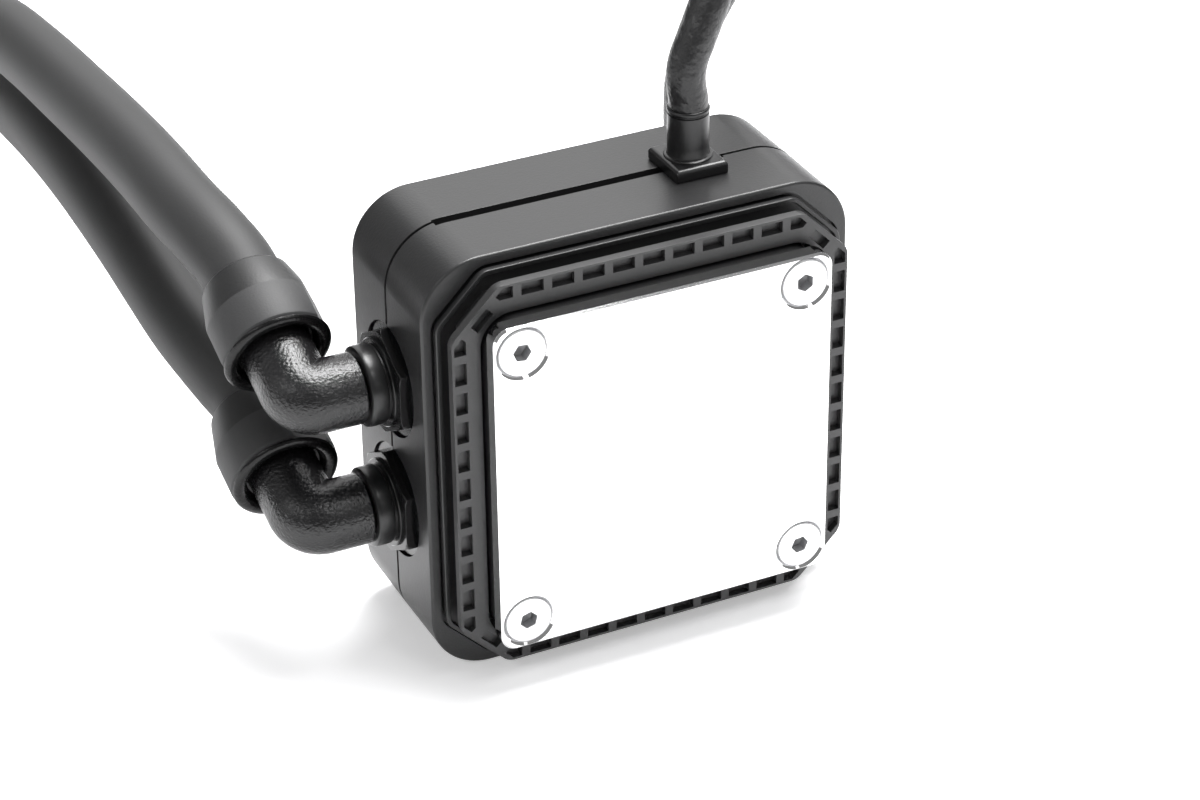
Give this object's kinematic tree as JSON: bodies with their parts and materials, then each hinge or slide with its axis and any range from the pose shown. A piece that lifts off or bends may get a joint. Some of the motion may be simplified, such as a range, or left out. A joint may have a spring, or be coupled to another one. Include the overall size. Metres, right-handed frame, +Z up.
{
  "type": "cpu water block",
  "caption": "Square liquid cooling pump block with polished cold plate, notched retention ring, two swivel elbows with hoses, and a pump lead.",
  "frame": {"origin": "centre of the cold plate's contact face", "axes": "-Y out of the contact face, +Z up as the block stands on its side, +X away from the ports"},
  "size_m": [0.1197, 0.3185, 0.1104],
  "materials": {
    "shell_plastic": "fine satin texture",
    "ring_plastic": "satin",
    "base_plastic": "satin",
    "plate_nickel": "polished nickel on copper",
    "screw_steel": "bright nickel",
    "seal_rubber": "matt",
    "stamped_steel": "stamped sheet",
    "chamber_plastic": "moulded",
    "can_steel": "deep drawn",
    "core_steel": "stacked laminations",
    "coil_copper": "enamelled wire",
    "board_green": "solder mask",
    "shaft_ceramic": "ground ceramic",
    "washer_plastic": "self-lubricating plastic",
    "impeller_plastic": "moulded",
    "magnet_ferrite": "sintered",
    "gland_rubber": "satin",
    "lead_jacket": "soft jacket",
    "plug_plastic": "moulded",
    "terminal_brass": "plated",
    "fitting_gloss": "gloss, faintly pebbled",
    "sleeve_rubber": "matt",
    "hose_rubber": "matt"
  },
  "bodies": {
    "block": {"rear_shell": "shell_plastic", "front_shell": "shell_plastic", "retention_ring": "ring_plastic", "pump_base": "base_plastic", "cold_plate": "plate_nickel", "plate_screws": "screw_steel", "plate_gasket": "seal_rubber", "jet_plate": "stamped_steel", "pump_chamber": "chamber_plastic", "isolation_can": "can_steel", "stator_core": "core_steel", "stator_coils": "coil_copper", "circuit_board": "board_green", "pump_screws": "screw_steel", "shell_screws": "screw_steel", "pump_shaft": "shaft_ceramic", "thrust_washers": "washer_plastic", "cable_gland": "gland_rubber", "pump_cable": "lead_jacket", "cable_plug": "plug_plastic", "plug_terminals": "terminal_brass", "upper_port_fitting": "fitting_gloss", "lower_port_fitting": "fitting_gloss", "upper_swivel_collar": "fitting_gloss", "lower_swivel_collar": "fitting_gloss", "upper_swivel_seal": "seal_rubber", "lower_swivel_seal": "seal_rubber"},
    "upper_arm": {"upper_elbow": "fitting_gloss", "upper_hose_sleeve": "sleeve_rubber", "upper_hose": "hose_rubber", "upper_tail_sleeve": "sleeve_rubber", "upper_tail_fitting": "fitting_gloss"},
    "lower_arm": {"lower_elbow": "fitting_gloss", "lower_hose_sleeve": "sleeve_rubber", "lower_hose": "hose_rubber", "lower_tail_sleeve": "sleeve_rubber", "lower_tail_fitting": "fitting_gloss"},
    "rotor": {"impeller": "impeller_plastic", "rotor_magnet": "magnet_ferrite", "rotor_bushes": "washer_plastic"}
  },
  "joints": [
    {"name": "upper_swivel", "type": "hinge", "parent": "block", "child": "upper_arm", "pos_m": [-0.0401, 0.022, 0.0105], "axis": [1, 0, 0], "range_deg": [0, 100]},
    {"name": "lower_swivel", "type": "hinge", "parent": "block", "child": "lower_arm", "pos_m": [-0.0401, 0.022, -0.0105], "axis": [1, 0, 0], "range_deg": [-100, 0]},
    {"name": "rotor_spin", "type": "hinge", "parent": "block", "child": "rotor", "pos_m": [0, 0.02, 0], "axis": [0, 1, 0], "continuous": true}
  ]
}
